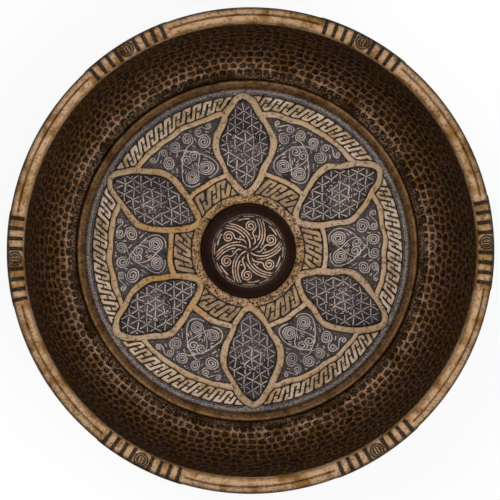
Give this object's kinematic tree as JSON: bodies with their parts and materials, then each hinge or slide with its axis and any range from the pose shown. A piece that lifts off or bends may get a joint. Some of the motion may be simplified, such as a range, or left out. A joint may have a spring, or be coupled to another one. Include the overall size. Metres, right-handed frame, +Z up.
{
  "type": "bath bowl",
  "caption": "Round shallow metal bath bowl with a hammered wall, a banded brass rim and an inlaid strapwork medallion around a raised hollow boss.",
  "frame": {"origin": "centre of the flat base, on the plane that the bowl stands on", "axes": "+Z up the bowl's axis, out of the mouth; +X through the middle of one group of rim bars"},
  "size_m": [0.2, 0.2, 0.05],
  "materials": {
    "dark_bronze": "hammered, dark brown patina",
    "rim_brass": "worn satin with dark patina in the grooves",
    "olive_bronze": "satin olive patina",
    "strap_brass": "worn satin brass",
    "grey_alloy": "tinned grey with dark hollows",
    "fret_brass": "pale worn brass over dark ground",
    "boss_bronze": "engraved, bright ridges over dark ground"
  },
  "bodies": {
    "root": {"bowl_body": "dark_bronze", "rim_band": "rim_brass", "bezel_ring": "olive_bronze", "margin_ring": "grey_alloy", "medallion_plate": "olive_bronze", "strapwork": "strap_brass", "boss_cap": "dark_bronze", "boss_roundel": "boss_bronze", "petal_panel_1": "grey_alloy", "petal_panel_2": "grey_alloy", "petal_panel_3": "grey_alloy", "petal_panel_4": "grey_alloy", "petal_panel_5": "grey_alloy", "petal_panel_6": "grey_alloy", "scroll_panel_1": "grey_alloy", "scroll_panel_2": "grey_alloy", "scroll_panel_3": "grey_alloy", "scroll_panel_4": "grey_alloy", "scroll_panel_5": "grey_alloy", "scroll_panel_6": "grey_alloy", "outer_fret_1": "fret_brass", "outer_fret_2": "fret_brass", "outer_fret_3": "fret_brass", "outer_fret_4": "fret_brass", "outer_fret_5": "fret_brass", "outer_fret_6": "fret_brass", "inner_fret_1": "fret_brass", "inner_fret_2": "fret_brass", "inner_fret_3": "fret_brass", "inner_fret_4": "fret_brass", "inner_fret_5": "fret_brass", "inner_fret_6": "fret_brass"}
  },
  "joints": []
}
